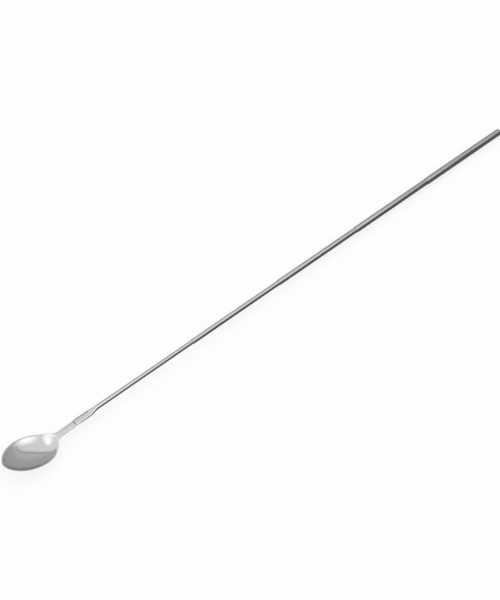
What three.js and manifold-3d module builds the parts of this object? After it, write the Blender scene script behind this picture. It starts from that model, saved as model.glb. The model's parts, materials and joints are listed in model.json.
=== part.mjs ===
// Telescopic spoon: a stainless steel spoon head on a rod of five nested tubes, drawn out full length.
// Millimetres, +Z up. The rod runs from the bowl towards +X, and the spoon lies on its bowl and its end.

import * as THREE from "three";
import { mergeVertices } from "three/addons/utils/BufferGeometryUtils.js";
import Module from "manifold-3d";

const wasm = await Module();
wasm.setup();

// Rod: the thinnest tube, and what each larger tube adds to it
const frontDiameter = 4.0;
const tubeWall = 0.22;
const slideGap = 0.18; // radial room between a tube and the bore that it slides in
const exposedLength = 107; // plain round length that each sliding tube shows when drawn out
const collapsedShow = 1.0; // what still shows of it when pushed in

// Mouth of a tube, rolled in over the tube that it carries
const lipClearance = 0.05;
const lipLength = 1.0;
const lipShoulder = 0.3; // cone from the lip back to the bore
const mouthFace = 0.08; // flat front of the lip, inside its rounded edge

// Tail of a sliding tube: a groove that traps two half-round friction springs
const springLength = 6.0;
const springBow = 0.05;
const springClearance = 0.03; // radial, to the bore and to the floor of the groove
const springPlay = 0.1; // axial, at each end of the groove
const grooveFloor = 0.11; // wall left under the groove
const tailLand = 1.3; // full wall behind the groove
const stopGap = 0.3; // from the springs to the shoulder that stops them

// Handle cap: a domed plug
const capInsert = 3.0;
const capDome = 3.5;
const capClearance = 0.05;
const tailRoom = 1.5; // free depth between the cap and the tubes when they are pushed in

// Socket: the end of the front tube, pressed flat from above over the tongue of the spoon head
const socketWidth = 6.4;
const socketThickness = 2.5;
const socketEdge = 0.3; // upright part of its rounded edge
const socketLength = 15;
const socketBlend = 9.2; // length over which it turns round again
const dimpleRadius = 0.6;
const dimpleDepth = 0.45;
const dimpleFromMouth = 3.2;
const dimpleFromMiddle = 0.9;
const cutProud = 0.2; // how far a cut stands out of the face that it starts from

// Shank of the spoon head: a bar with a flat top, and a thin tongue that goes into the socket
const shankLength = 14.4;
const shankWidth = 5.05;
const shankThickness = 3.6;
const shankTop = 0.1; // height of its top above the rod's axis
const shankCorner = 0.5;
const tongueLength = 13;
const tongueGap = 0.15; // to the flat walls of the socket
const tongueSideGap = 0.45; // to its rounded edges
const tongueCorner = 0.4;
const seatGap = 0.1; // between pieces that stop against each other
const punchGap = 0.2; // between the dimple's point and its hole in the tongue

// Bowl: an outline that narrows to both ends, tipped up from the rod
const bowlLength = 51.9;
const bowlWidth = 36.1;
const bowlDepth = 6.0;
const bowlWall = 1.4; // at the bottom
const bowlTaper = 1.2; // of the rim: 1 is an ellipse, more is a slimmer end
const bowlPitch = THREE.MathUtils.degToRad(12.5);
const bowlFullness = 2.7; // 2 is a paraboloid, more is a flatter bottom with steeper walls
const rimWidth = 1.2;
const rimDrop = 5.3; // depth of the rim's plane under the rod's axis at the neck
const neckSetback = 5.0; // from the end of the shank to the neck end of that plane
const neckRise = 4.8; // how far the rim climbs to the shank
const neckReach = 11.8; // length over which it climbs
const neckFlare = 2.0; // what the shank gains on each side as it meets the bowl
const heelReach = 13; // how far the shank's heel runs out under the bowl
const heelWidth = 8.4;
const heelSink = 0.3; // depth of the heel's end in the wall of the bowl
const seatDepth = 0.2; // ground off the round underside, so that the bowl stands without rocking

// Facets
const roundSides = 32;
const cornerSteps = roundSides / 4;
const dimpleSides = 16;
const bowlSides = 56;
const blendRings = 7;
const domeSteps = 7;
const edgeSteps = 4;
const bowStations = [-1, -0.5, 0, 0.5, 1];
const bowlRings = [0.12, 0.32, 0.52, 0.7, 0.84, 0.94, 1];

// Tubes from the spoon head to the grip
const stageNames = ["front", "second", "third", "fourth", "handle"];
const handleStage = stageNames.length - 1;

// Sizes that follow from the ones above
const lerp = THREE.MathUtils.lerp;
const smooth = (u) => u * u * (3 - 2 * u);
const tubeStep = tubeWall + slideGap;
const outerRadius = (stage) => frontDiameter / 2 + stage * tubeStep;
const grooveDepth = tubeWall - grooveFloor;
const springStart = lipLength + lipShoulder + stopGap;
const grooveStart = springStart - springPlay;
const grooveEnd = springStart + springLength + springPlay;
const engagedLength = grooveEnd + tailLand;
const plainLength = exposedLength + engagedLength;
const handleLength = plainLength - collapsedShow + tailRoom + capInsert;
const socketHeight = socketThickness / 2 - frontDiameter / 2;

// Places of the mouths along the rod, measured from the bowl end of the shank
const socketMouth = shankLength;
const firstSlide = socketMouth + socketLength + socketBlend + exposedLength;
const mouthOf = (stage) => firstSlide + (stage - 1) * exposedLength;

const polished = { color: 0xc6c8c9, roughness: 0.18, metalness: 1 };
const drawn = { color: 0xb9bbbd, roughness: 0.25, metalness: 1 };
const bronze = { color: 0xb98a52, roughness: 0.4, metalness: 1 };

// A named piece of the spoon with a finish of its own.
function piece(name, geometry, finish) {
  const mesh = new THREE.Mesh(geometry, new THREE.MeshStandardMaterial(finish));
  mesh.name = name;
  return mesh;
}

// Turns a closed surface so that its faces point out.
function facingOut(geometry) {
  const point = geometry.getAttribute("position");
  const index = geometry.index.array;
  const corners = [new THREE.Vector3(), new THREE.Vector3(), new THREE.Vector3()];
  let volume = 0;
  for (let i = 0; i < index.length; i += 3) {
    corners.forEach((corner, k) => corner.fromBufferAttribute(point, index[i + k]));
    volume += corners[0].dot(corners[1].cross(corners[2]));
  }
  if (volume < 0) index.reverse();
  return geometry;
}

// A closed body through rings of points, capped at both ends or joined round into a loop.
function loft(rings, looped = false) {
  const count = rings[0].length;
  const points = rings.flat();
  const index = [];
  const bands = looped ? rings.length : rings.length - 1;
  for (let band = 0; band < bands; band++) {
    const near = band * count;
    const far = ((band + 1) % rings.length) * count;
    for (let i = 0; i < count; i++) {
      const next = (i + 1) % count;
      index.push(near + i, near + next, far + next);
      index.push(near + i, far + next, far + i);
    }
  }
  if (!looped) {
    const last = (rings.length - 1) * count;
    const [front, back] = [rings[0], rings.at(-1)].map(middle);
    const hub = points.length;
    points.push(front, back);
    for (let i = 0; i < count; i++) {
      const next = (i + 1) % count;
      index.push(hub, next, i);
      index.push(hub + 1, last + i, last + next);
    }
  }
  return facingOut(new THREE.BufferGeometry().setFromPoints(points).setIndex(index));
}

// The mean of a ring's points.
function middle(ring) {
  const sum = ring.reduce((total, point) => total.add(point), new THREE.Vector3());
  return sum.divideScalar(ring.length);
}

// A body turned about the rod's axis from a closed profile of places along the rod and radii.
function turned(profile) {
  const closed = [...profile, profile[0]].map(([along, radius]) => new THREE.Vector2(radius, along));
  const geometry = new THREE.LatheGeometry(closed, roundSides, Math.PI / roundSides);
  geometry.rotateZ(-Math.PI / 2);
  return facingOut(welded(geometry));
}

// The same surface with its shared corners made one.
function welded(geometry) {
  const bare = geometry.clone();
  bare.deleteAttribute("normal");
  bare.deleteAttribute("uv");
  return mergeVertices(bare);
}

// A solid for joining and cutting, and the surface of the result.
function solid(geometry) {
  const surface = welded(geometry);
  return new wasm.Manifold(
    new wasm.Mesh({
      numProp: 3,
      vertProperties: surface.getAttribute("position").array,
      triVerts: new Uint32Array(surface.index.array),
    }),
  );
}

function surfaceOf(body) {
  const mesh = body.getMesh();
  const geometry = new THREE.BufferGeometry();
  geometry.setAttribute("position", new THREE.BufferAttribute(mesh.vertProperties, 3));
  geometry.setIndex(new THREE.BufferAttribute(mesh.triVerts, 1));
  return geometry;
}

// A ring across the rod: a rectangle with round corners, or a circle where the corner is all there is.
function ring(along, halfWidth, halfHeight, corner, height = 0) {
  const points = [];
  for (let i = 0; i < roundSides; i++) {
    const angle = ((i + 0.5) * 2 * Math.PI) / roundSides;
    const quarter = Math.floor(i / cornerSteps);
    const side = quarter === 0 || quarter === 3 ? 1 : -1;
    const top = quarter < 2 ? 1 : -1;
    const y = side * (halfWidth - corner) + corner * Math.cos(angle);
    const z = top * (halfHeight - corner) + corner * Math.sin(angle);
    points.push(new THREE.Vector3(along, y, height + z));
  }
  return points;
}

const circle = (along, radius) => ring(along, radius, radius, radius);

// The groove and the end of a sliding tube, from its places along the rod.
function tailProfile(length, radius) {
  const mouth = length - engagedLength;
  return [
    [mouth + grooveStart, radius],
    [mouth + grooveStart, radius - grooveDepth],
    [mouth + grooveEnd, radius - grooveDepth],
    [mouth + grooveEnd, radius],
    [length, radius],
  ];
}

// A tube with a rolled mouth, which slides over the next smaller one.
function sleeve(stage, length, tail) {
  const radius = outerRadius(stage);
  const bore = radius - tubeWall;
  const lip = outerRadius(stage - 1) + lipClearance;
  const round = radius - lip - mouthFace;
  const edge = [];
  for (let i = 0; i <= edgeSteps; i++) {
    const angle = (i * Math.PI) / 2 / edgeSteps;
    edge.push([round * (1 - Math.cos(angle)), radius - round * (1 - Math.sin(angle))]);
  }
  return turned([
    [0, lip],
    ...edge,
    ...tail,
    [length, bore],
    [lipLength + lipShoulder, bore],
    [lipLength, lip],
  ]);
}

const slidingTube = (stage) => sleeve(stage, plainLength, tailProfile(plainLength, outerRadius(stage)));
const handleTube = () => sleeve(handleStage, handleLength, [[handleLength, outerRadius(handleStage)]]);

// A ring of the front tube's wall at a place along it, set in from its outer face.
function frontRing(along, inset) {
  const round = frontDiameter / 2;
  const turn = smooth(THREE.MathUtils.clamp((along - socketLength) / socketBlend, 0, 1));
  const flatCorner = (socketThickness - socketEdge) / 2;
  return ring(
    along,
    lerp(socketWidth / 2, round, turn) - inset,
    lerp(socketThickness / 2, round, turn) - inset,
    lerp(flatCorner, round, turn) - inset,
    lerp(socketHeight, 0, turn),
  );
}

// A punched cone in the top wall of the socket, grown by some room and standing proud of the wall.
function punch(room, proud) {
  const height = dimpleDepth + room + proud;
  const [wide, narrow] = [dimpleRadius + room, dimpleRadius / 2 + room];
  const cone = new THREE.CylinderGeometry(wide, narrow, height, dimpleSides);
  cone.rotateX(Math.PI / 2);
  const top = socketHeight + socketThickness / 2 + proud;
  return cone.translate(dimpleFromMouth, -dimpleFromMiddle, top - height / 2);
}

function frontTube() {
  const length = socketLength + socketBlend + plainLength;
  const places = [0];
  for (let i = 0; i <= blendRings; i++) places.push(socketLength + (socketBlend * i) / blendRings);
  const outside = places.map((along) => frontRing(along, 0));
  const tail = tailProfile(length, frontDiameter / 2).map(([along, radius]) => circle(along, radius));
  const inside = places.map((along) => frontRing(along, tubeWall)).reverse();
  const bore = circle(length, frontDiameter / 2 - tubeWall);
  const tube = solid(loft([...outside, ...tail, bore, ...inside], true));
  const bulge = solid(punch(tubeWall, -tubeWall / 2));
  return surfaceOf(tube.add(bulge).subtract(solid(punch(0, cutProud))));
}

// The tube of a stage, from the one that carries the spoon head to the one that is held.
function tubeOf(stage) {
  if (stage === 0) return frontTube();
  return stage === handleStage ? handleTube() : slidingTube(stage);
}

// Half of the friction spring in a tube's groove: a leaf bent round the tube and bowed along it.
function frictionSpring(stage, upper) {
  const radius = outerRadius(stage);
  const inner = radius - grooveDepth + springClearance;
  const outer = radius + slideGap - springClearance;
  const leaf = outer - inner - springBow;
  const bowed = bowStations.map((share) => [
    (springLength * (share + 1)) / 2,
    inner + springBow * (1 - share * share),
  ]);
  const profile = [...bowed, ...bowed.map(([along, floor]) => [along, floor + leaf]).reverse()];
  const rings = [];
  for (let i = 0; i < roundSides / 2; i++) {
    const angle = ((i + 0.5) * 2 * Math.PI) / roundSides + (upper ? 0 : Math.PI);
    const bend = ([along, r]) => new THREE.Vector3(along, r * Math.cos(angle), r * Math.sin(angle));
    rings.push(profile.map(bend));
  }
  return loft(rings);
}

function handleCap() {
  const rim = outerRadius(handleStage);
  const plug = rim - tubeWall - capClearance;
  const dome = [];
  for (let i = 0; i <= domeSteps; i++) {
    const angle = (i * Math.PI) / 2 / domeSteps;
    dome.push([seatGap + capDome * Math.sin(angle), rim * Math.cos(angle)]);
  }
  dome.at(-1)[1] = 0;
  return turned([[-capInsert, 0], [-capInsert, plug], [seatGap, plug], ...dome]);
}

// A point of the bowl: distance from the neck towards the tip, side, and height over the rim's plane.
function bowlPoint(reach, side, height) {
  const x = -neckSetback - reach * Math.cos(bowlPitch) + height * Math.sin(bowlPitch);
  const z = -rimDrop + reach * Math.sin(bowlPitch) + height * Math.cos(bowlPitch);
  return new THREE.Vector3(x, side, z);
}

// How far the rim stands over its plane as it climbs to the shank.
const rimClimb = (reach) => neckRise * Math.max(0, 1 - reach / neckReach) ** 2;

// A ring of the bowl's inner face, or of its outer one, from the round bottom (0) to the tapered rim (1).
function bowlRing(share, inset, depth) {
  const taper = lerp(1, bowlTaper, share ** 2);
  const points = [];
  for (let i = 0; i < bowlSides; i++) {
    const angle = ((i + 0.5) * 2 * Math.PI) / bowlSides;
    const swing = Math.sin(angle);
    const reach = bowlLength / 2 - share * (bowlLength / 2 - inset) * Math.cos(angle);
    const side = share * (bowlWidth / 2 - inset) * Math.sign(swing) * Math.abs(swing) ** taper;
    const height = rimClimb(reach) - depth * (1 - share ** bowlFullness);
    points.push(bowlPoint(reach, side, height));
  }
  return points;
}

// The shank from its tongue to the heel under the bowl.
function shankRings() {
  const inset = tubeWall + tongueGap;
  const tongueHalf = socketWidth / 2 - tubeWall - tongueSideGap;
  const tongue = (along) => {
    return ring(along, tongueHalf, socketThickness / 2 - inset, tongueCorner, socketHeight);
  };
  const bar = (along, half, top, bottom) => {
    return ring(along, half, (top - bottom) / 2, shankCorner, (top + bottom) / 2);
  };
  const shoulder = shankLength - seatGap;
  const shankBottom = shankTop - shankThickness;
  const heelShare = 1 - heelReach / (bowlLength / 2);
  const heelDepth = (bowlDepth + bowlWall) * (1 - heelShare ** bowlFullness) - heelSink;
  const heelBottom = bowlPoint(heelReach, 0, rimClimb(heelReach) - heelDepth).z;
  const rings = [tongue(shankLength + tongueLength), tongue(shoulder)];
  rings.push(bar(shoulder, shankWidth / 2, shankTop, shankBottom));
  const neck = bowlPoint(0, 0, rimClimb(0));
  const neckHalf = shankWidth / 2 + neckFlare;
  for (let i = 0; i < blendRings; i++) {
    const share = i / blendRings;
    const half = lerp(shankWidth / 2, neckHalf, share ** 2);
    rings.push(bar(neck.x * share, half, lerp(shankTop, neck.z, share), shankBottom));
  }
  for (let i = 0; i <= blendRings; i++) {
    const share = i / blendRings;
    const half = lerp(neckHalf, heelWidth / 2, smooth(share));
    const rim = bowlPoint(heelReach * share, 0, rimClimb(heelReach * share));
    rings.push(bar(rim.x, half, rim.z, lerp(shankBottom, heelBottom, smooth(share))));
  }
  return rings;
}

function spoonHead() {
  const outer = bowlRings.map((share) => bowlRing(share, 0, bowlDepth + bowlWall));
  const inner = bowlRings.map((share) => bowlRing(share, rimWidth, bowlDepth));
  const above = bowlPoint(0, 0, bowlDepth).sub(bowlPoint(0, 0, 0));
  const opening = inner.at(-1).map((point) => point.clone().add(above));
  const hole = punch(tubeWall + punchGap, cutProud).translate(socketMouth, 0, 0);
  const head = solid(loft(outer)).add(solid(loft(shankRings()))).trimByPlane(tableUp, tableHeight);
  return surfaceOf(head.subtract(solid(loft([...inner, opening]))).subtract(solid(hole)));
}

// The lay: the rod leans until the seat under the bowl and the end of the handle touch the same table
const flatRadius = outerRadius(handleStage) * Math.cos(Math.PI / roundSides);
const handleFoot = new THREE.Vector3(mouthOf(handleStage) + handleLength, 0, -flatRadius);
const underside = bowlRings.flatMap((share) => bowlRing(share, 0, bowlDepth + bowlWall));
const leans = underside.map((point) => {
  return Math.atan2(handleFoot.z - point.z - seatDepth, handleFoot.x - point.x);
});
const lean = Math.max(...leans);
const tableUp = [-Math.sin(lean), 0, Math.cos(lean)];
const tableHeight = handleFoot.dot(new THREE.Vector3(...tableUp));

// The rod in its own frame, which leans as it lies: each tube in a group at its mouth
const rod = new THREE.Group();
rod.rotation.y = lean;
rod.add(piece("spoon_head", spoonHead(), polished));

stageNames.forEach((name, stage) => {
  const group = new THREE.Group();
  group.position.x = stage === 0 ? socketMouth : mouthOf(stage);
  rod.add(group);
  group.add(piece(`${name}_tube`, tubeOf(stage), drawn));
  if (stage === 0) return;
  const carried = stageNames[stage - 1];
  for (const half of ["upper", "lower"]) {
    const spring = piece(`${carried}_spring_${half}`, frictionSpring(stage - 1, half === "upper"), bronze);
    spring.position.x = springStart;
    group.add(spring);
  }
});

const cap = piece("handle_cap", handleCap(), polished);
cap.position.x = mouthOf(handleStage) + handleLength;
rod.add(cap);

const spoon = new THREE.Group();
spoon.add(rod);
const box = new THREE.Box3().setFromObject(spoon, true);
rod.position.set(-(box.min.x + box.max.x) / 2, 0, -box.min.z);

export default spoon;
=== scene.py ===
"""Looks of a telescopic spoon, drawn out full length and lying on a pale floor.

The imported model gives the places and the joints. The spoon head, the five tubes and the cap are remade here
as fine meshes in the same places, and every piece gets its finish. Sizes are millimetres in the rod's own
frame: x runs along the rod's axis from the bowl end of the shank to the handle, y across the bowl and z up.
"""

import json
import logging
import math
from dataclasses import dataclass
from enum import Enum
from typing import Any, ClassVar, Iterable, Mapping

import bmesh
import bpy
import numpy as np
from bpy.types import Material, Mesh, Node, NodeSocket, NodeTree, Object
from mathutils import Matrix, Vector


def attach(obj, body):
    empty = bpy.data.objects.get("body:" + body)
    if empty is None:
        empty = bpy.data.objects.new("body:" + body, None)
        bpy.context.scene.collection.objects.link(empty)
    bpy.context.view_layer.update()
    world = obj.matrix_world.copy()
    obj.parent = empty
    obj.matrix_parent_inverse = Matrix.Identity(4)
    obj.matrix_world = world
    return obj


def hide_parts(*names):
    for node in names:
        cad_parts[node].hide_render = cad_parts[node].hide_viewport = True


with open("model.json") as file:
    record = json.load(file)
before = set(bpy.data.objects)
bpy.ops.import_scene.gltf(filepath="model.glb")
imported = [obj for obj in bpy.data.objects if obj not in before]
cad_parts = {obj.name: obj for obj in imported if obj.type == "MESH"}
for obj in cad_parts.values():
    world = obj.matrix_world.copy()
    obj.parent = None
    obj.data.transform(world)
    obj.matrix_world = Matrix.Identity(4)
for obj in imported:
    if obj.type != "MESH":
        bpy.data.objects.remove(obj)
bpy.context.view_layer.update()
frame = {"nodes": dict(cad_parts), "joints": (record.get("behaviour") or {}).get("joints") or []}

MM = 0.001
SHARP_ANGLE = math.radians(35)
log = logging.getLogger("telescopic_spoon")


class Slot(Enum):
    """Material slots of the record."""

    POLISHED = "polished_steel"
    DRAWN = "drawn_steel"
    SPRING = "spring_bronze"


def linear(code: str) -> tuple[float, float, float, float]:
    """Turns an sRGB colour into the linear values that shaders take.

    Args:
        code: Six hex digits.

    Returns:
        Red, green, blue and alpha.
    """
    parts = [int(code[i : i + 2], 16) / 255 for i in (0, 2, 4)]
    red, green, blue = [c / 12.92 if c <= 0.04045 else ((c + 0.055) / 1.055) ** 2.4 for c in parts]
    return red, green, blue, 1.0


def smooth(share: float) -> float:
    """Eases a share from 0 to 1 with level ends."""
    return share * share * (3 - 2 * share)


def lerp(start: float, end: float, share: float) -> float:
    """Goes a share of the way from one value to another."""
    return start + (end - start) * share


def add_node(
    tree: NodeTree,
    kind: str,
    inputs: Mapping[Any, Any] | None = None,
    **settings: Any,
) -> Node:
    """Adds a node with its settings, and fills or links its inputs.

    Args:
        tree: Shader or geometry tree that takes the node.
        kind: Blender's name of the node's class.
        inputs: Values or sockets, by the name or number of the input.
        **settings: The node's own properties.

    Returns:
        The new node.
    """
    made = tree.nodes.new(kind)
    for name, value in settings.items():
        setattr(made, name, value)
    for name, value in (inputs or {}).items():
        socket = made.inputs[name]
        if isinstance(value, NodeSocket):
            tree.links.new(value, socket)
        else:
            socket.default_value = value
    return made


@dataclass(frozen=True)
class Lay:
    """How the rod's own frame lies in the model."""

    start: Vector
    along: Vector

    FIRST_MOUTH: ClassVar[float] = 145.6

    @classmethod
    def from_joints(cls, joints: Iterable[Mapping[str, Any]]) -> "Lay":
        """Reads the lay off the joint at the first mouth.

        Args:
            joints: The record's joints.

        Returns:
            The lay of the rod.
        """
        first = next(joint for joint in joints if joint["name"] == "front_twist")
        along = Vector(first["axis"]).normalized()
        return cls(Vector(first["pos_m"]) - along * cls.FIRST_MOUTH * MM, along)

    def matrix(self) -> Matrix:
        """Gives the step from the rod's frame to the model's, both in metres."""
        across = Vector((0, 1, 0))
        turn = Matrix((self.along, across, self.along.cross(across))).transposed()
        return Matrix.Translation(self.start) @ turn.to_4x4()


def blank_material(name: str) -> Material:
    """Makes a material with an empty node tree."""
    made = bpy.data.materials.new(name)
    made.use_nodes = True
    made.node_tree.nodes.clear()
    return made


def grain(
    tree: NodeTree, cell: tuple[float, float, float], detail: float, roughness: float
) -> NodeSocket:
    """Adds noise over a piece.

    Args:
        tree: Shader tree that takes the nodes.
        cell: Size of its cells along the rod, across and up, in millimetres.
        detail: Octaves of the noise.
        roughness: Strength of the finer octaves.

    Returns:
        The noise, about 0 to 1.
    """
    place = add_node(tree, "ShaderNodeTexCoord").outputs["Object"]
    scale = tuple(1 / (size * MM) for size in cell)
    scaled = add_node(tree, "ShaderNodeMapping", {"Vector": place, "Scale": scale}).outputs["Vector"]
    inputs = {"Vector": scaled, "Scale": 1.0, "Detail": detail, "Roughness": roughness}
    return add_node(tree, "ShaderNodeTexNoise", inputs).outputs["Fac"]


def mottle(tree: NodeTree, share: NodeSocket, start: str, end: str) -> NodeSocket:
    """Goes from one sRGB colour to another by a share."""
    inputs = {"Factor": share, 6: linear(start), 7: linear(end)}
    return add_node(tree, "ShaderNodeMix", inputs, data_type="RGBA").outputs[2]


def stretch(
    tree: NodeTree,
    value: NodeSocket,
    taken: tuple[float, float],
    given: tuple[float, float],
) -> NodeSocket:
    """Maps one range of a value onto another."""
    ends = dict(zip(("From Min", "From Max", "To Min", "To Max"), taken + given))
    return add_node(tree, "ShaderNodeMapRange", {"Value": value, **ends}).outputs["Result"]


@dataclass(frozen=True)
class Metal:
    """A bare metal with fine working lines along the rod and soft patches of another tone."""

    name: str
    colour: str
    patched: str
    roughness: float
    roughness_spread: float
    line_width: float
    line_length: float
    patch_size: float

    def look(self, tree: NodeTree) -> dict[str, Any]:
        """Gives the inputs of the shader, other than its being metal."""
        raise NotImplementedError

    def lines(self, tree: NodeTree, detail: float, roughness: float) -> NodeSocket:
        """Adds the working lines, as noise that is drawn out along the rod."""
        return grain(tree, (self.line_length, self.line_width, self.line_width), detail, roughness)

    def patches(self, tree: NodeTree, detail: float, roughness: float) -> NodeSocket:
        """Adds the patches, as even noise."""
        return grain(tree, (self.patch_size, self.patch_size, self.patch_size), detail, roughness)

    def shine(self, tree: NodeTree, dullness: NodeSocket, taken: tuple[float, float]) -> NodeSocket:
        """Turns a range of dullness into the metal's roughness."""
        return stretch(tree, dullness, taken, (self.roughness, self.roughness + self.roughness_spread))

    def material(self) -> Material:
        """Makes the finish once, and gives it again when asked.

        Returns:
            The procedural material.
        """
        made = bpy.data.materials.get(self.name)
        if made:
            return made
        made = blank_material(self.name)
        tree = made.node_tree
        surface = add_node(tree, "ShaderNodeBsdfPrincipled", {**self.look(tree), "Metallic": 1.0})
        add_node(tree, "ShaderNodeOutputMaterial", {"Surface": surface.outputs["BSDF"]})
        return made


@dataclass(frozen=True)
class Steel(Metal):
    """Stainless steel with the lines of drawing and buffing, and faint wipe marks."""

    line_depth: float

    DULLNESS: ClassVar[tuple[float, float]] = (0.12, 0.4)

    def look(self, tree: NodeTree) -> dict[str, Any]:
        """Gives the inputs of the shader.

        Args:
            tree: Shader tree of the material.

        Returns:
            Values and sockets by the names of the inputs.
        """
        # Lines left by drawing and buffing, which draw out the reflections along the rod
        lines = self.lines(tree, detail=3.0, roughness=0.6)
        depth = {"Height": lines, "Distance": self.line_depth * MM, "Strength": 1.0}
        # Wipe marks, which dull the shine in soft patches
        wipes = self.patches(tree, detail=4.0, roughness=0.55)
        dullness = add_node(tree, "ShaderNodeMath", {0: lines, 1: wipes}, operation="MULTIPLY")
        return {
            "Base Color": mottle(tree, wipes, self.colour, self.patched),
            "Roughness": self.shine(tree, dullness.outputs["Value"], self.DULLNESS),
            "Normal": add_node(tree, "ShaderNodeBump", depth).outputs["Normal"],
        }


@dataclass(frozen=True)
class Bronze(Metal):
    """Phosphor bronze strip with the mill's rolling lines and a light tarnish."""

    DULLNESS: ClassVar[tuple[float, float]] = (0.3, 0.7)

    def look(self, tree: NodeTree) -> dict[str, Any]:
        """Gives the inputs of the shader.

        Args:
            tree: Shader tree of the material.

        Returns:
            Values and sockets by the names of the inputs.
        """
        # Brown tarnish in soft patches over the golden metal
        tarnish = self.patches(tree, detail=5.0, roughness=0.5)
        # Rolling lines along the strip, which break up the shine
        lines = self.lines(tree, detail=2.0, roughness=0.5)
        return {
            "Base Color": mottle(tree, tarnish, self.colour, self.patched),
            "Roughness": self.shine(tree, lines, self.DULLNESS),
        }


POLISHED = Steel(
    name="polished stainless steel",
    colour="CFCFCF",
    patched="C9C9C9",
    roughness=0.13,
    roughness_spread=0.08,
    line_width=0.12,
    line_length=6.0,
    line_depth=0.0012,
    patch_size=9.0,
)
DRAWN = Steel(
    name="drawn stainless steel tube",
    colour="D2D2D2",
    patched="CACACA",
    roughness=0.1,
    roughness_spread=0.07,
    line_width=0.09,
    line_length=14.0,
    line_depth=0.0016,
    patch_size=12.0,
)
SPRING = Bronze(
    name="phosphor bronze strip",
    colour="C79A5B",
    patched="A97A45",
    roughness=0.3,
    roughness_spread=0.15,
    line_width=0.06,
    line_length=1.5,
    patch_size=1.2,
)


def face_out(mesh: Mesh) -> None:
    """Turns the faces of a closed mesh outward and shades it smooth, with its sharp edges kept."""
    shape = bmesh.new()
    shape.from_mesh(mesh)
    bmesh.ops.recalc_face_normals(shape, faces=shape.faces)
    shape.to_mesh(mesh)
    shape.free()
    mesh.shade_smooth()
    mesh.set_sharp_from_angle(angle=SHARP_ANGLE)


def show(name: str, mesh: Mesh) -> Object:
    """Puts a mesh in the scene as a piece at the origin."""
    made = bpy.data.objects.new(name, mesh)
    bpy.context.scene.collection.objects.link(made)
    return made


def set_in(piece: Object, body: str, node: str, finish: Metal) -> None:
    """Finishes a piece and puts it in the place of a CAD node.

    Args:
        piece: The remade piece.
        body: CAD body that carries it.
        node: CAD node that it stands for.
        finish: What it is made of.
    """
    piece.data.materials.clear()
    piece.data.materials.append(finish.material())
    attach(piece, body)
    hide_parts(node)
    log.info("%s: %d faces, on %s", piece.name, len(piece.data.polygons), body)


@dataclass(frozen=True)
class RodSizes:
    """Sizes that the nested tubes share."""

    front_diameter: float = 4.0
    wall: float = 0.22
    slide_gap: float = 0.18
    exposed_length: float = 107.0
    collapsed_show: float = 1.0
    lip_clearance: float = 0.05
    lip_length: float = 1.0
    lip_shoulder: float = 0.3
    spring_length: float = 6.0
    spring_play: float = 0.1
    groove_floor: float = 0.11
    tail_land: float = 1.3
    stop_gap: float = 0.3
    tail_room: float = 1.5
    cap_insert: float = 3.0

    def radius(self, stage: int) -> float:
        """Gives the outer radius of a stage, counted from the front tube."""
        return self.front_diameter / 2 + stage * (self.wall + self.slide_gap)

    def mouth(self, stage: int) -> float:
        """Gives where the mouth of a stage lies along the rod."""
        return Lay.FIRST_MOUTH + (stage - 1) * self.exposed_length

    @property
    def groove(self) -> tuple[float, float]:
        """Start and end of the spring groove, from the mouth that the tube slides in."""
        start = self.lip_length + self.lip_shoulder + self.stop_gap - self.spring_play
        return start, start + self.spring_length + 2 * self.spring_play

    @property
    def engaged(self) -> float:
        """Length of a drawn-out tube that stays inside the next one."""
        return self.groove[1] + self.tail_land

    @property
    def sliding_length(self) -> float:
        """Length of a plain sliding tube."""
        return self.exposed_length + self.engaged

    @property
    def handle_length(self) -> float:
        """Length of the handle tube."""
        return self.sliding_length - self.collapsed_show + self.tail_room + self.cap_insert


@dataclass(frozen=True)
class Corner:
    """A corner of a turned profile, by the names of the inputs that place and round it."""

    along: str
    radius: str
    rounding: str = ""


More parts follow.
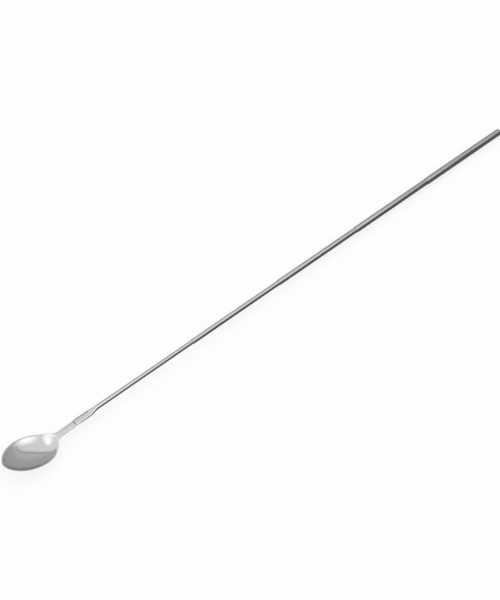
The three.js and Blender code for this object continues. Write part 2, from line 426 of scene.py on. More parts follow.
@dataclass(frozen=True)
class Turning:
    """A Geometry Nodes tree that turns a profile of named corners about the rod's axis."""

    name: str
    corners: tuple[Corner, ...]
    closed: bool

    PATH_RADIUS: ClassVar[float] = 0.01
    WELD: ClassVar[float] = 1e-7

    def lengths(self) -> list[str]:
        """Lists the named lengths in the order of their first use."""
        names = [name for corner in self.corners for name in (corner.along, corner.radius, corner.rounding)]
        return [name for name in dict.fromkeys(names) if name]

    def tree(self) -> NodeTree:
        """Builds the tree once, and gives it again when asked.

        Returns:
            The node group, with its lengths, counts and finish as inputs.
        """
        made = bpy.data.node_groups.get(self.name)
        if made:
            return made
        made = bpy.data.node_groups.new(self.name, "GeometryNodeTree")
        for name in self.lengths():
            made.interface.new_socket(name=name, in_out="INPUT", socket_type="NodeSocketFloat")
        for name in ("Sides", "Round Steps"):
            made.interface.new_socket(name=name, in_out="INPUT", socket_type="NodeSocketInt")
        made.interface.new_socket(name="Finish", in_out="INPUT", socket_type="NodeSocketMaterial")
        made.interface.new_socket(name="Geometry", in_out="OUTPUT", socket_type="NodeSocketGeometry")
        given = add_node(made, "NodeGroupInput").outputs

        def step(kind: str, inputs: Mapping[Any, Any] | None = None, **settings: Any) -> NodeSocket:
            """Adds a node to the tree and gives its first output."""
            return add_node(made, kind, inputs, **settings).outputs[0]

        index = step("GeometryNodeInputIndex")
        places = self.pick(made, index, "VECTOR")
        roundings = self.pick(made, index, "FLOAT")
        for i, corner in enumerate(self.corners):
            spot = step("ShaderNodeCombineXYZ", {"X": given[corner.radius], "Y": given[corner.along]})
            made.links.new(spot, places.inputs[i + 1])
            if corner.rounding:
                made.links.new(given[corner.rounding], roundings.inputs[i + 1])
        shift = {0: places.outputs["Output"], 1: (self.PATH_RADIUS, 0, 0)}
        from_path = step("ShaderNodeVectorMath", shift, operation="SUBTRACT")
        line = step("GeometryNodeMeshLine", {"Count": len(self.corners)})
        bent = step("GeometryNodeSetPosition", {"Geometry": line, "Position": from_path})
        outline = step("GeometryNodeMeshToCurve", {"Mesh": bent})
        joined = step("GeometryNodeSetSplineCyclic", {0: outline, "Cyclic": self.closed})
        fillet = {"Count": given["Round Steps"], "Radius": roundings.outputs["Output"], "Limit Radius": True}
        rounded = step("GeometryNodeFilletCurve", {"Curve": joined, **fillet}, mode="POLY")
        circle = {"Resolution": given["Sides"], "Radius": self.PATH_RADIUS}
        around = step("GeometryNodeCurvePrimitiveCircle", circle)
        swept = step("GeometryNodeCurveToMesh", {"Curve": around, "Profile Curve": rounded})
        welded = step("GeometryNodeMergeByDistance", {"Geometry": swept, "Distance": self.WELD})
        real = step("GeometryNodeRealizeInstances", {"Geometry": welded})
        dressed = step("GeometryNodeSetMaterial", {"Geometry": real, "Material": given["Finish"]})
        add_node(made, "NodeGroupOutput", {"Geometry": dressed})
        return made

    def pick(self, tree: NodeTree, index: NodeSocket, kind: str) -> Node:
        """Adds a switch with one item for each corner.

        Args:
            tree: Tree that takes the node.
            index: Socket with the number of the corner.
            kind: Data type of the items.

        Returns:
            The switch, whose items follow its first input.
        """
        switch = add_node(tree, "GeometryNodeIndexSwitch", data_type=kind)
        while len(switch.index_switch_items) < len(self.corners):
            switch.index_switch_items.new()
        tree.links.new(index, switch.inputs["Index"])
        return switch

    def turn(
        self, name: str, lengths: Mapping[str, float], sides: int, steps: int, finish: Metal
    ) -> Mesh:
        """Turns one piece.

        Args:
            name: Name of the piece.
            lengths: The named lengths, in millimetres.
            sides: Facets round the axis.
            steps: Points in each rounding.
            finish: What the piece is made of.

        Returns:
            A plain mesh about the rod's axis, with its mouth at the origin.
        """
        carrier = show(f"{name} turning", bpy.data.meshes.new(f"{name} blank"))
        modifier = carrier.modifiers.new("turning", "NODES")
        modifier.node_group = self.tree()
        values: dict[str, Any] = {key: length * MM for key, length in lengths.items()}
        values |= {"Sides": sides, "Round Steps": steps, "Finish": finish.material()}
        for item in modifier.node_group.interface.items_tree:
            if item.in_out == "INPUT":
                modifier[item.identifier] = values[item.name]
        carrier.update_tag()
        depsgraph = bpy.context.evaluated_depsgraph_get()
        mesh = bpy.data.meshes.new_from_object(carrier.evaluated_get(depsgraph), depsgraph=depsgraph)
        mesh.name = name
        blank = carrier.data
        bpy.data.objects.remove(carrier)
        bpy.data.meshes.remove(blank)
        # The sweep leaves the profile's y along -z, and the rod runs along x
        mesh.transform(Matrix(((0, 0, -1, 0), (0, 1, 0, 0), (1, 0, 0, 0), (0, 0, 0, 1))))
        return mesh


SLEEVE = Turning(
    name="Rolled Tube",
    closed=True,
    corners=(
        Corner("Mouth", "Lip Radius", "Lip Rounding"),
        Corner("Mouth", "Outer Radius", "Edge Rounding"),
        Corner("Groove Start", "Outer Radius"),
        Corner("Groove Start", "Groove Radius"),
        Corner("Groove End", "Groove Radius"),
        Corner("Groove End", "Outer Radius"),
        Corner("Length", "Outer Radius", "Tail Rounding"),
        Corner("Length", "Bore Radius"),
        Corner("Shoulder End", "Bore Radius"),
        Corner("Lip End", "Lip Radius"),
    ),
)
PLUG = Turning(
    name="Domed Plug",
    closed=False,
    corners=(
        Corner("Insert End", "Axis"),
        Corner("Insert End", "Plug Radius", "Insert Rounding"),
        Corner("Seat", "Plug Radius"),
        Corner("Seat", "Rim Radius"),
        Corner("Dome End", "Rim Radius", "Dome Rounding"),
        Corner("Dome End", "Axis"),
    ),
)


@dataclass
class Sleeve:
    """A tube whose mouth is rolled in over the next smaller one."""

    stage: int
    stage_name: str
    body: str
    sizes: RodSizes
    length: float
    grooved: bool
    sides: int = 128
    round_steps: int = 7
    edge_rounding: float = 0.27
    lip_rounding: float = 0.06
    tail_rounding: float = 0.05
    finish: Metal = DRAWN

    def build(self, lay: Lay) -> Object:
        """Turns the tube and lays it at its place along the rod.

        Args:
            lay: How the rod lies.

        Returns:
            The piece.
        """
        sizes = self.sizes
        outer = sizes.radius(self.stage)
        start = self.length - sizes.engaged
        groove = outer - (sizes.wall - sizes.groove_floor if self.grooved else 0)
        lengths = {
            "Mouth": 0.0,
            "Lip Radius": sizes.radius(self.stage - 1) + sizes.lip_clearance,
            "Outer Radius": outer,
            "Bore Radius": outer - sizes.wall,
            "Groove Radius": groove,
            "Groove Start": start + sizes.groove[0],
            "Groove End": start + sizes.groove[1],
            "Length": self.length,
            "Lip End": sizes.lip_length,
            "Shoulder End": sizes.lip_length + sizes.lip_shoulder,
            "Edge Rounding": self.edge_rounding,
            "Lip Rounding": self.lip_rounding,
            "Tail Rounding": self.tail_rounding,
        }
        name = f"{self.stage_name}_tube_fine"
        mesh = SLEEVE.turn(name, lengths, self.sides, self.round_steps, self.finish)
        mesh.transform(lay.matrix() @ Matrix.Translation((sizes.mouth(self.stage) * MM, 0, 0)))
        face_out(mesh)
        return show(name, mesh)

    def dress(self, piece: Object) -> None:
        """Gives the tube its finish and its place in the frame."""
        set_in(piece, self.body, f"{self.stage_name}_tube", self.finish)


@dataclass
class HandleCap:
    """The domed plug that closes the handle."""

    stage: int
    body: str
    sizes: RodSizes
    dome: float = 3.5
    clearance: float = 0.05
    seat_gap: float = 0.1
    insert_rounding: float = 0.3
    sides: int = 128
    round_steps: int = 20
    finish: Metal = POLISHED

    def build(self, lay: Lay) -> Object:
        """Turns the cap and lays it at the end of the handle.

        Args:
            lay: How the rod lies.

        Returns:
            The piece.
        """
        rim = self.sizes.radius(self.stage)
        lengths = {
            "Axis": 0.0,
            "Insert End": -self.sizes.cap_insert,
            "Plug Radius": rim - self.sizes.wall - self.clearance,
            "Seat": self.seat_gap,
            "Rim Radius": rim,
            "Dome End": self.seat_gap + self.dome,
            "Insert Rounding": self.insert_rounding,
            "Dome Rounding": self.dome,
        }
        mesh = PLUG.turn("handle_cap_fine", lengths, self.sides, self.round_steps, self.finish)
        end = self.sizes.mouth(self.stage) + self.sizes.handle_length
        mesh.transform(lay.matrix() @ Matrix.Translation((end * MM, 0, 0)))
        face_out(mesh)
        return show("handle_cap_fine", mesh)

    def dress(self, piece: Object) -> None:
        """Gives the cap its finish and its place in the frame."""
        set_in(piece, self.body, "handle_cap", self.finish)


def rounded_ring(half_width: float, half_height: float, corner: float, count: int) -> np.ndarray:
    """Walks evenly round a rectangle with round corners, or a circle where the corner is all there is.

    Args:
        half_width: Half of its size in y.
        half_height: Half of its size in z.
        corner: Radius of the corners.
        count: Number of points.

    Returns:
        Points in y and z, one to a row, from the middle of the +y side towards +z.
    """
    flat_y, flat_z = half_width - corner, half_height - corner
    bend = corner * math.pi / 2
    runs = [flat_z, bend, 2 * flat_y, bend, 2 * flat_z, bend, 2 * flat_y, bend, flat_z]
    ends = np.cumsum(runs)
    points = []
    for walked in np.arange(count) * ends[-1] / count:
        run = int(np.searchsorted(ends, walked, side="right"))
        into = walked - (ends[run] - runs[run])
        if run % 2:
            quarter = run // 2
            angle = quarter * math.pi / 2 + into / corner
            middle_y = flat_y if quarter in (0, 3) else -flat_y
            middle_z = flat_z if quarter < 2 else -flat_z
            points.append((middle_y + corner * math.cos(angle), middle_z + corner * math.sin(angle)))
        elif run == 0:
            points.append((half_width, into))
        elif run == 2:
            points.append((flat_y - into, half_height))
        elif run == 4:
            points.append((-half_width, flat_z - into))
        elif run == 6:
            points.append((-flat_y + into, -half_height))
        else:
            points.append((half_width, -flat_z + into))
    return np.array(points)


@dataclass
class FrontTube:
    """The thinnest tube, whose end is pressed flat over the tongue of the spoon head and punched once."""

    sizes: RodSizes
    body: str = "front_stage"
    mouth: float = 14.4
    socket_width: float = 6.4
    socket_thickness: float = 2.5
    socket_edge: float = 0.3
    socket_crown: float = 0.25
    socket_length: float = 15.0
    socket_blend: float = 9.2
    dimple_radius: float = 0.6
    dimple_depth: float = 0.45
    dimple_from_mouth: float = 3.2
    dimple_from_middle: float = 0.9
    dimple_easing: float = 0.08
    mouth_rounding: float = 0.06
    rounding_share: float = 0.3
    blend_lead: float = 0.3
    sides: int = 128
    fine_step: float = 0.12
    fine_length: float = 6.0
    coarse_steps: int = 12
    blend_steps: int = 30
    finish: Metal = DRAWN

    @property
    def socket_height(self) -> float:
        """Height of the socket's middle over the rod's axis: its underside is level with the tube's."""
        return (self.socket_thickness - self.sizes.front_diameter) / 2

    def ring(self, along: float, inset: float) -> np.ndarray:
        """Gives a ring of the tube's wall.

        Args:
            along: Place from the mouth.
            inset: Depth under the outer face.

        Returns:
            Points of the ring, one to a row.
        """
        full = self.sizes.front_diameter / 2
        turn = smooth(min(max((along - self.socket_length) / self.socket_blend, 0), 1))
        flat_corner = (self.socket_thickness - self.socket_edge) / 2
        outline = rounded_ring(
            lerp(self.socket_width / 2, full, turn) - inset,
            lerp(self.socket_thickness / 2, full, turn) - inset,
            lerp(flat_corner, full, turn) - inset,
            self.sides,
        )
        points = np.column_stack([np.full(self.sides, along), outline])
        # The pressed top keeps a slight crown
        lower = (1 - turn) * self.socket_crown * (2 * outline[:, 0] / self.socket_width) ** 2
        points[:, 2] += lerp(self.socket_height, 0, turn) - np.where(outline[:, 1] > 0, lower, 0)
        return self.punched(points, inset)

    def punched(self, points: np.ndarray, inset: float) -> np.ndarray:
        """Pushes the points of the socket's top that lie under the punch.

        Args:
            points: Points of a ring.
            inset: Depth of the ring under the outer face, by which the punched cone grows.

        Returns:
            The points, with the dimple in them.
        """
        away = np.hypot(points[:, 0] - self.dimple_from_mouth, points[:, 1] + self.dimple_from_middle)
        slope = (self.dimple_radius + inset - away) / (self.dimple_radius / 2)
        # The cone's edge and floor are eased, as a punch leaves them
        ease = self.dimple_easing
        depth = np.clip(slope, 0, 1)
        depth = (1 - ease) * depth + ease * depth * depth * (3 - 2 * depth)
        top = points[:, 2] > self.socket_height
        points[:, 2] -= np.where(top, depth * self.dimple_depth, 0)
        return points

    def build(self, lay: Lay) -> Object:
        """Lofts the tube out along its outer face and back along its bore.

        Args:
            lay: How the rod lies.

        Returns:
            The piece.
        """
        wall, edge = self.sizes.wall, self.mouth_rounding
        eased = edge * self.rounding_share
        round_from = self.socket_length + self.socket_blend
        length = round_from + self.sizes.sliding_length
        tail = length - self.sizes.engaged
        groove_start, groove_end = (tail + place for place in self.sizes.groove)
        groove_inset = wall - self.sizes.groove_floor
        fine = list(np.arange(edge + self.fine_step, self.fine_length, self.fine_step))
        coarse = list(np.linspace(self.fine_length, self.socket_length - self.blend_lead, self.coarse_steps))
        blend = list(np.linspace(self.socket_length, round_from, self.blend_steps))
        places = fine + coarse + blend
        lip = [(0.0, wall / 2), (0.0, edge), (eased, eased), (edge, 0.0)]
        outside = [(place, 0.0) for place in places]
        groove = [
            (groove_start, 0.0),
            (groove_start, groove_inset),
            (groove_end, groove_inset),
            (groove_end, 0.0),
            (length, 0.0),
            (length, wall),
        ]
        inside = [(place, wall) for place in reversed(places)]
        back = [(edge, wall), (eased, wall - eased), (0.0, wall - edge)]
        rings = [self.ring(place, inset) for place, inset in lip + outside + groove + inside + back]
        count, bands = self.sides, len(rings)
        faces = []
        for band in range(bands):
            near, far = band * count, (band + 1) % bands * count
            for i in range(count):
                after = (i + 1) % count
                faces.append((near + i, near + after, far + after, far + i))
        points = np.vstack(rings) + (self.mouth, 0, 0)
        mesh = bpy.data.meshes.new("front_tube_fine")
        mesh.from_pydata((points * MM).tolist(), [], faces)
        mesh.transform(lay.matrix())
        face_out(mesh)
        return show("front_tube_fine", mesh)

    def dress(self, piece: Object) -> None:
        """Gives the tube its finish and its place in the frame."""
        set_in(piece, self.body, "front_tube", self.finish)


@dataclass
class SpoonHead:
    """Bowl, neck and bar-like shank in one piece, as a cage that is subdivided."""

    tube: FrontTube
    body: str = "front_stage"
    bowl_length: float = 51.9
    bowl_width: float = 36.1
    bowl_depth: float = 6.0
    bowl_wall: float = 1.4
    bowl_taper: float = 1.2
    bowl_pitch: float = math.radians(12.5)
    bowl_fullness: float = 2.7
    rim_width: float = 1.2
    rim_drop: float = 5.3
    rim_support: float = 0.45
    rim_easing: float = 0.3
    neck_setback: float = 5.0
    neck_rise: float = 4.8
    neck_reach: float = 11.8
    neck_flare: float = 1.6
    shank_length: float = 14.4
    shank_width: float = 5.05
    shank_thickness: float = 3.6
    shank_top: float = 0.1
    shank_corner: float = 1.2
    shank_crown: float = 0.15
    bend_crease: float = 0.18
    bend_places: tuple[float, float] = (0.2, 0.9)
    shank_middle: float = 7.0
    shoulder_support: float = 0.15
    tongue_length: float = 13.0
    tongue_gap: float = 0.5
    tongue_side_gap: float = 0.45
    tongue_corner: float = 0.35
    tongue_supports: tuple[float, float] = (0.2, 0.25)
    seat_gap: float = 0.35
    punch_gap: float = 0.2
    punch_slope: float = 2.5
    punch_reach: float = 1.5
    punch_loops: int = 9
    columns: int = 64
    window: int = 3
    inner_shares: tuple[float, ...] = (0.05, 0.16, 0.28, 0.4, 0.52, 0.63, 0.73, 0.82, 0.89, 0.945, 0.985)
    outer_shares: tuple[float, ...] = (0.99, 0.955, 0.9, 0.83, 0.755, 0.67, 0.57, 0.46, 0.34, 0.21, 0.08)
    neck_rows: int = 6
    neck_loops: int = 4
    smoothing: int = 6
    levels: int = 2
    finish: Metal = POLISHED

    def climb(self, reach: np.ndarray) -> np.ndarray:
        """Tells how far the rim stands over its plane as it climbs to the shank."""
        return self.neck_rise * np.maximum(0, 1 - reach / self.neck_reach) ** 2

    def ring(self, share: float, inset: float, depth: float, lower: np.ndarray | float = 0.0) -> np.ndarray:
        """Gives a ring of the bowl, from the round bottom (0) to the tapered rim (1).

        Args:
            share: Share of the way from the bottom to the rim.
            inset: How far the rim of this face lies inside the outline.
            depth: Depth of this face.
            lower: What the ring lies lower than its face.

        Returns:
            Points of the ring, one to a row, from the neck round over +y.
        """
        angle = np.arange(self.columns) * 2 * math.pi / self.columns
        swing = np.sin(angle)
        taper = lerp(1, self.bowl_taper, share**2)
        reach = self.bowl_length / 2 - share * (self.bowl_length / 2 - inset) * np.cos(angle)
        side = share * (self.bowl_width / 2 - inset) * np.sign(swing) * np.abs(swing) ** taper
        height = self.climb(reach) - depth * (1 - share**self.bowl_fullness) - lower
        cos, sin = math.cos(self.bowl_pitch), math.sin(self.bowl_pitch)
        x = -self.neck_setback - reach * cos + height * sin
        z = -self.rim_drop + reach * sin + height * cos
        return np.column_stack([x, side, z])

    def bowl_rings(self) -> tuple[list[np.ndarray], int]:
        """Gives the rings of the bowl from the inner bottom over the rim to the outer bottom.

        Returns:
            The rings, and the number of the one on the outer edge of the rim.
        """
        outer_depth = self.bowl_depth + self.bowl_wall
        # The rim's edges are eased, but not where the neck's top runs into it
        from_neck = np.minimum(np.arange(self.columns), self.columns - np.arange(self.columns))
        eased = self.rim_easing * np.clip((from_neck - self.window) / 2, 0, 1)
        rings = [self.ring(share, self.rim_width, self.bowl_depth) for share in self.inner_shares]
        rings.append(self.ring(1, self.rim_width, self.bowl_depth, self.rim_easing))
        rings.append(self.ring(1, self.rim_width - self.rim_support, self.bowl_depth))
        rings.append(self.ring(1, self.rim_support, self.bowl_depth))
        edge = len(rings)
        rings.append(self.ring(1, 0, outer_depth, eased))
        rings += [self.ring(share, 0, outer_depth) for share in self.outer_shares]
        return rings, edge

    def section(
        self, along: float, half: float, top: float, bottom: float, corner: float, crown: float = 0.0
    ) -> np.ndarray:
        """Gives a loop across the shank, with as many points as the neck's opening in the bowl.

        Args:
            along: Place along the rod.
            half: Half width.
            top: Height of its top.
            bottom: Height of its underside.
            corner: Distance of the points that hold a corner.
            crown: How far the top falls from its middle to its edges.

        Returns:
            Points of the loop: the top towards +y, down, the underside back, and up.
        """
        inner = np.linspace(corner - half, half - corner, 2 * self.window - 1)
        across = np.concatenate([[-half], inner, [half]])
        down = np.linspace(top - crown - corner, bottom + corner, self.neck_rows - 1)
        loop = [(along, y, top - crown * (y / half) ** 2) for y in across]
        loop += [(along, half, z) for z in down]
        loop += [(along, y, bottom) for y in across[::-1]]
        loop += [(along, -half, z) for z in down[::-1]]
        return np.array(loop)

    def opening(self, edge: int) -> list[int]:
        """Lists the points round the neck's opening in the bowl's outside, in the order of a section.

        Args:
            edge: Number of the ring on the outer edge of the rim.

        Returns:
            Point numbers.
        """
        reach = range(-self.window, self.window + 1)

        def at(row: int, column: int) -> int:
            """Gives the number of a point of the bowl's outside."""
            return (edge + row) * self.columns + column % self.columns

        loop = [at(0, column) for column in reach]
        loop += [at(row, self.window) for row in range(1, self.neck_rows)]
        loop += [at(self.neck_rows, column) for column in reversed(reach)]
        loop += [at(row, -self.window) for row in range(self.neck_rows - 1, 0, -1)]
        return loop

    def shank_loops(self, start: np.ndarray) -> list[np.ndarray]:
        """Gives the loops from the neck's opening along the shank to the end of the tongue.

        Args:
            start: Points of the opening.

        Returns:
            The loops after the opening.
        """
        half, top = self.shank_width / 2, self.shank_top
        bottom = top - self.shank_thickness
        corner, crown = self.shank_corner, self.shank_crown
        bend_start, bend_end = self.bend_places
        bend = self.section(bend_start, half, top - self.bend_crease, bottom, corner, crown)
        loops = []
        for i in range(1, self.neck_loops):
            share = i / self.neck_loops
            loop = start + (bend - start) * share
            loop[:, 1] = bend[:, 1] + (start[:, 1] - bend[:, 1]) * (1 - share) ** self.neck_flare
            loops.append(loop)
        loops.append(bend)
        shoulder = self.shank_length - self.seat_gap
        places = [bend_end, self.shank_middle, shoulder - self.shoulder_support, shoulder]
        loops += [self.section(x, half, top, bottom, corner, crown) for x in places]
        tube = self.tube
        wall = tube.sizes.wall
        tongue_half = tube.socket_width / 2 - wall - self.tongue_side_gap
        tongue_rise = tube.socket_thickness / 2 - wall - self.tongue_gap
        middle = tube.socket_height
        end = self.shank_length + self.tongue_length
        punch = self.shank_length + tube.dimple_from_mouth
        fine = np.linspace(punch - self.punch_reach, punch + self.punch_reach, self.punch_loops)
        root_support, end_support = self.tongue_supports
        places = [shoulder, shoulder + root_support, *fine, end - end_support, end]
        loops += [
            self.section(x, tongue_half, middle + tongue_rise, middle - tongue_rise, self.tongue_corner)
            for x in places
        ]
        return loops

    def cage(self) -> tuple[np.ndarray, list[tuple[int, ...]], list[int]]:
        """Builds the cage of the whole head.

        Returns:
            Its points, its faces, and the numbers of the points to smooth where the neck meets the bowl.
        """
        rings, edge = self.bowl_rings()
        columns, window = self.columns, self.window
        points = np.vstack(rings)
        faces: list[tuple[int, ...]] = []
        for row in range(len(rings) - 1):
            for column in range(columns):
                signed = column if column < columns / 2 else column - columns
                if edge <= row < edge + self.neck_rows and -window <= signed < window:
                    continue
                near, far, after = row * columns, (row + 1) * columns, (column + 1) % columns
                faces.append((near + column, near + after, far + after, far + column))
        faces.append(tuple(range(columns)))
        last = (len(rings) - 1) * columns
        faces.append(tuple(range(last + columns - 1, last - 1, -1)))
        loop = self.opening(edge)
        eased = [i for i in loop if i >= (edge + 1) * columns]
        for row in range(2, self.neck_rows + 2):
            eased += [(edge + row) * columns + column % columns for column in (-window - 1, window + 1)]
        under = (edge + self.neck_rows + 1) * columns
        eased += [under + column % columns for column in range(-window, window + 1)]
        top_count = 2 * window + 1
        for order, section in enumerate(self.shank_loops(points[loop])):
            first = len(points)
            points = np.vstack([points, section])
            made = list(range(first, first + len(section)))
            if order < self.neck_loops - 1:
                eased += made[top_count:]
            for i in range(len(loop)):
                after = (i + 1) % len(loop)
                faces.append((loop[i], loop[after], made[after], made[i]))
            loop = made
        faces.append(tuple(loop))
        return points, faces, eased

    def build(self, lay: Lay) -> Object:
        """Subdivides the cage and presses the punch's hollow into the tongue.

        Args:
            lay: How the rod lies.

        Returns:
            The piece.
        """
        points, faces, eased = self.cage()
        mesh = bpy.data.meshes.new("spoon_head_cage")
        mesh.from_pydata(points.tolist(), [], faces)
        shape = bmesh.new()
        shape.from_mesh(mesh)
        unused = [vertex for vertex in shape.verts if not vertex.link_faces]
        shape.verts.ensure_lookup_table()
        soft = [shape.verts[i] for i in sorted(set(eased)) if shape.verts[i].link_faces]
        for _ in range(self.smoothing):
            bmesh.ops.smooth_vert(
                shape, verts=soft, factor=0.5, use_axis_x=True, use_axis_y=True, use_axis_z=True
            )
        bmesh.ops.delete(shape, geom=unused, context="VERTS")
        shape.to_mesh(mesh)
        shape.free()
        carrier = show("spoon_head_cage", mesh)
        rounding = carrier.modifiers.new("rounding", "SUBSURF")
        rounding.levels = rounding.render_levels = self.levels
        depsgraph = bpy.context.evaluated_depsgraph_get()
        fine = bpy.data.meshes.new_from_object(carrier.evaluated_get(depsgraph), depsgraph=depsgraph)
        fine.name = "spoon_head_fine"
        bpy.data.objects.remove(carrier)
        bpy.data.meshes.remove(mesh)
        self.press(fine)
        fine.transform(lay.matrix() @ Matrix.Scale(MM, 4))
        self.grind(fine)
        face_out(fine)
        return show("spoon_head_fine", fine)

    def press(self, mesh: Mesh) -> None:
        """Presses the hollow that the punched wall of the socket goes into."""
        tube = self.tube
        wide = tube.dimple_radius + tube.sizes.wall + self.punch_gap
        for vertex in mesh.vertices:
            x, y, z = vertex.co
            along = x - self.shank_length - tube.dimple_from_mouth
            away = math.hypot(along, y + tube.dimple_from_middle)
            if z > tube.socket_height and away < wide and x > self.shank_length:
                vertex.co.z -= tube.dimple_depth * min(1.0, self.punch_slope * (1 - away / wide))

    def grind(self, mesh: Mesh) -> None:
        """Flattens the seat under the bowl, level with the table."""
        for vertex in mesh.vertices:
            vertex.co.z = max(vertex.co.z, 0.0)

    def dress(self, piece: Object) -> None:
        """Gives the head its finish and its place in the frame."""
        set_in(piece, self.body, "spoon_head", self.finish)


@dataclass
class FrictionSprings:
    """The bronze leaves in the grooves of the sliding tubes, whose CAD shapes are kept."""

    stages: tuple[str, ...] = ("front", "second", "third", "fourth")
    finish: Metal = SPRING

    def dress(self, nodes: Mapping[str, Object]) -> None:
        """Gives each leaf its finish.

        Args:
            nodes: The CAD nodes by name.
        """
        for stage in self.stages:
            for half in ("upper", "lower"):
                leaf = nodes[f"{stage}_spring_{half}"]
                leaf.data.materials.clear()
                leaf.data.materials.append(self.finish.material())
                log.info("%s: kept from the CAD", leaf.name)


Stops = tuple[tuple[float, float], ...]
BOWL_MIDDLE = (-0.297, 0.0)


def even(glow: float) -> Stops:
    """Gives the stops of a card with one radiance."""
    return (0.0, glow), (1.0, glow)


@dataclass(frozen=True)
class Card:
    """A studio card that only shows in reflections: a strip that stands square to a direction from a foot.

    The bends are distances out from the foot and heights over the floor, in metres, and the span runs to the
    left and right. Its radiance goes by the stops up the strip, and fades towards the white of the room by
    the stops across it, where 1 is no fading. The places of all stops are shares.
    """

    name: str
    azimuth: float
    span: tuple[float, float]
    bends: Stops
    up: Stops
    across: Stops = even(1.0)
    foot: tuple[float, float] = (0.0, 0.0)

    COLUMNS: ClassVar[int] = 193
    ROWS: ClassVar[int] = 61
    ROOM: ClassVar[float] = 1.0

    def point(self, side: float, away: float) -> tuple[float, float]:
        """Gives the plan of a point of the card.

        Args:
            side: Place on the span.
            away: Distance out from the foot.

        Returns:
            Its x and y.
        """
        angle = math.radians(self.azimuth)
        sin, cos = math.sin(angle), math.cos(angle)
        return self.foot[0] + sin * away + cos * side, self.foot[1] + cos * away - sin * side

    def build(self) -> None:
        """Makes the card and keeps it out of sight, shadow and diffuse light."""
        shares = np.linspace(0, 1, self.ROWS)
        knots = np.linspace(0, 1, len(self.bends))
        outs = np.interp(shares, knots, [bend[0] for bend in self.bends])
        heights = np.interp(shares, knots, [bend[1] for bend in self.bends])
        sides = np.linspace(*self.span, self.COLUMNS)
        points = [(*self.point(side, out), height) for out, height in zip(outs, heights) for side in sides]
        count = self.COLUMNS
        faces = [
            (near + i, near + i + 1, near + count + i + 1, near + count + i)
            for near in range(0, count * (self.ROWS - 1), count)
            for i in range(count - 1)
        ]
        mesh = bpy.data.meshes.new(self.name)
        mesh.from_pydata(points, [], faces)
        rise = np.interp(shares, *zip(*self.up))
        keep = np.interp(np.linspace(0, 1, count), *zip(*self.across))
        glow = self.ROOM + np.outer(rise - self.ROOM, keep)
        graded = mesh.attributes.new("glow", "FLOAT", "POINT")
        graded.data.foreach_set("value", glow.ravel().astype(np.float32))
        mesh.materials.append(self.material())
        card = show(self.name, mesh)
        card.visible_camera = False
        card.visible_diffuse = False
        card.visible_shadow = False
        card.visible_transmission = False
        card.visible_volume_scatter = False

    def material(self) -> Material:
        """Makes the card's glow, graded by its attribute.

        Returns:
            The material.
        """
        made = blank_material(self.name)
        tree = made.node_tree
        glow = add_node(tree, "ShaderNodeAttribute", attribute_name="glow").outputs["Fac"]
        light = add_node(tree, "ShaderNodeEmission", {"Strength": glow})
        # The card shows on the side of its foot, and nothing of it from behind
        behind = add_node(tree, "ShaderNodeNewGeometry").outputs["Backfacing"]
        clear = add_node(tree, "ShaderNodeBsdfTransparent")
        sides = {0: behind, 1: light.outputs["Emission"], 2: clear.outputs["BSDF"]}
        sided = add_node(tree, "ShaderNodeMixShader", sides)
        add_node(tree, "ShaderNodeOutputMaterial", {"Surface": sided.outputs["Shader"]})
        return made


class Cyclorama(Card):
    """A card that curves round its foot, with its span in degrees."""

    def point(self, side: float, away: float) -> tuple[float, float]:
        """Gives the plan of a point of the card, whose place on the span is an angle."""
        angle = math.radians(self.azimuth + side)
        return self.foot[0] + away * math.sin(angle), self.foot[1] + away * math.cos(angle)


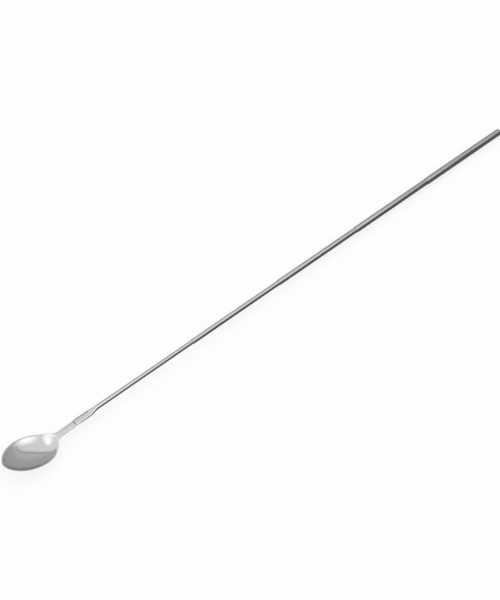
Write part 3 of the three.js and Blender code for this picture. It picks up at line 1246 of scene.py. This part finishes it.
@dataclass
class Studio:
    """Pale floor, even white light, reflection cards and the photograph's camera."""

    floor_half: float = 12.0
    floor_level: float = -0.0002
    floor_colour: str = "FDFDFD"
    floor_clearness: float = 0.75
    lens: float = 63.79
    sensor_width: float = 36.0
    clip: tuple[float, float] = (0.01, 100.0)
    azimuth: float = math.radians(43.26)
    elevation: float = math.radians(46.76)
    distance: float = 985.9
    aim: tuple[float, float, float] = (217.8, 1.2, 0.0)
    roll: float = math.radians(0.04)
    lens_shift: tuple[float, float] = (-0.00108, 0.00103)
    cards: tuple[Card, ...] = (
        Card(
            "backdrop",
            foot=BOWL_MIDDLE,
            azimuth=65,
            span=(-12, 12),
            bends=((1.9, 0.0), (1.9, 2.43)),
            up=((0.0, 0.48), (0.55, 0.54), (0.78, 0.73), (0.86, 0.78), (0.89, 0.2), (1.0, 0.2)),
        ),
        Card(
            "grey floor card",
            azimuth=0,
            span=(-0.245, 0.5),
            bends=((0.002, 0.0004), (0.3, 0.0004)),
            up=even(0.3),
        ),
        Card(
            "dark floor card",
            azimuth=180,
            span=(-0.5, 0.245),
            bends=((0.002, 0.0004), (0.3, 0.0004)),
            up=even(0.13),
        ),
        Cyclorama(
            "dark card",
            foot=(0.1, -0.2),
            azimuth=137,
            span=(-23, 23),
            bends=((0.1, 0.0003), (3.9, 0.0003), (3.9, 3.15)),
            up=even(0.13),
        ),
        Card(
            "handle dark card",
            azimuth=180,
            span=(-0.55, -0.27),
            bends=((0.12, 0.0), (0.12, 0.156)),
            up=even(0.12),
        ),
        Card(
            "near dark card",
            azimuth=180,
            span=(-0.1, 0.14),
            bends=((0.3, 0.0), (0.3, 0.26)),
            up=even(0.1),
        ),
        Card(
            "far grey card",
            azimuth=0,
            span=(0.02, 0.75),
            bends=((0.12, 0.0), (0.12, 0.08)),
            up=((0.0, 0.22), (0.7, 0.26), (1.0, 0.45)),
            across=((0.0, 0.65), (0.35, 1.0), (1.0, 1.0)),
        ),
        Cyclorama(
            "near softbox",
            foot=BOWL_MIDDLE,
            azimuth=148,
            span=(-26, 60),
            bends=((0.36, 0.175), (0.12, 0.4)),
            up=((0.0, 1.0), (0.2, 1.5), (0.4, 1.9), (0.65, 1.65), (0.85, 1.3), (1.0, 1.0)),
            across=((0.0, 0.0), (0.1, 0.4), (0.25, 1.0), (0.5, 0.85), (1.0, 0.0)),
        ),
        Cyclorama(
            "side softbox",
            foot=BOWL_MIDDLE,
            azimuth=-66,
            span=(-60, 40),
            bends=((0.346, 0.2), (0.12, 0.4)),
            up=((0.0, 1.0), (0.22, 1.4), (0.5, 1.9), (0.72, 1.7), (0.88, 1.35), (1.0, 1.0)),
            across=((0.0, 0.0), (0.3, 0.55), (0.45, 0.85), (0.6, 1.0), (0.75, 0.9), (0.9, 0.5), (1.0, 0.0)),
        ),
    )

    def build(self, lay: Lay) -> None:
        """Sets up the floor, the light and the camera.

        Args:
            lay: How the rod lies.
        """
        self.build_floor()
        self.build_world()
        for card in self.cards:
            card.build()
        self.build_camera(lay)
        bpy.context.scene.view_settings.view_transform = "Standard"

    def build_floor(self) -> None:
        """Makes the floor, just under the spoon."""
        half, level = self.floor_half, self.floor_level
        corners = [(-half, -half, level), (half, -half, level), (half, half, level), (-half, half, level)]
        mesh = bpy.data.meshes.new("floor")
        mesh.from_pydata(corners, [], [(0, 1, 2, 3)])
        made = blank_material("pale floor")
        tree = made.node_tree
        matt = add_node(tree, "ShaderNodeBsdfDiffuse", {"Color": linear(self.floor_colour)})
        clear = add_node(tree, "ShaderNodeBsdfTransparent")
        # Seen straight or in metal, the floor lets most of the white beyond it through: the spoon's shadow on
        # it is a light one, and a bowl that is turned or pushed in below the floor still shows
        path = add_node(tree, "ShaderNodeLightPath").outputs
        share = path["Is Camera Ray"]
        for ray in ("Is Glossy Ray", "Is Transmission Ray"):
            seen = add_node(tree, "ShaderNodeMath", {0: share, 1: path[ray]}, operation="MAXIMUM")
            share = seen.outputs["Value"]
        part = add_node(tree, "ShaderNodeMath", {0: share, 1: self.floor_clearness}, operation="MULTIPLY")
        layers = {0: part.outputs["Value"], 1: matt.outputs["BSDF"], 2: clear.outputs["BSDF"]}
        mixed = add_node(tree, "ShaderNodeMixShader", layers)
        add_node(tree, "ShaderNodeOutputMaterial", {"Surface": mixed.outputs["Shader"]})
        mesh.materials.append(made)
        show("floor", mesh)

    def build_world(self) -> None:
        """Lights the scene evenly from all round."""
        world = bpy.data.worlds.new("soft light")
        world.use_nodes = True
        tree = world.node_tree
        tree.nodes.clear()
        sky = add_node(tree, "ShaderNodeBackground", {"Color": (1, 1, 1, 1), "Strength": 1.0})
        add_node(tree, "ShaderNodeOutputWorld", {"Surface": sky.outputs["Background"]})
        bpy.context.scene.world = world

    def build_camera(self, lay: Lay) -> None:
        """Puts the camera where the photograph was taken from.

        Args:
            lay: How the rod lies.
        """
        level = math.cos(self.elevation)
        back = Vector(
            (-math.sin(self.azimuth) * level, -math.cos(self.azimuth) * level, math.sin(self.elevation))
        )
        right = Vector((math.cos(self.azimuth), -math.sin(self.azimuth), 0))
        turn = Matrix((right, back.cross(right), back)).transposed().to_4x4()
        aim = Vector(self.aim) * MM
        camera = bpy.data.cameras.new("photo camera")
        camera.lens = self.lens
        camera.sensor_width = self.sensor_width
        camera.shift_x, camera.shift_y = self.lens_shift
        camera.clip_start, camera.clip_end = self.clip
        placed = bpy.data.objects.new("photo camera", camera)
        turn @= Matrix.Rotation(self.roll, 4, "Z")
        placed.matrix_world = lay.matrix() @ Matrix.Translation(aim + back * self.distance * MM) @ turn
        bpy.context.scene.collection.objects.link(placed)
        bpy.context.scene.camera = placed


def main() -> None:
    """Builds the spoon and its studio."""
    logging.basicConfig(level=logging.INFO, format="%(message)s")
    lay = Lay.from_joints(frame["joints"])
    sizes = RodSizes()
    front = FrontTube(sizes)
    parts: list[Any] = [SpoonHead(front), front]
    for stage, name in enumerate(("second", "third", "fourth"), start=1):
        parts.append(Sleeve(stage, name, f"{name}_stage", sizes, sizes.sliding_length, grooved=True))
    parts.append(Sleeve(4, "handle", "handle", sizes, sizes.handle_length, grooved=False))
    parts.append(HandleCap(4, "handle", sizes))
    for part in parts:
        part.dress(part.build(lay))
    FrictionSprings().dress(frame["nodes"])
    Studio().build(lay)


if __name__ == "__main__":
    main()
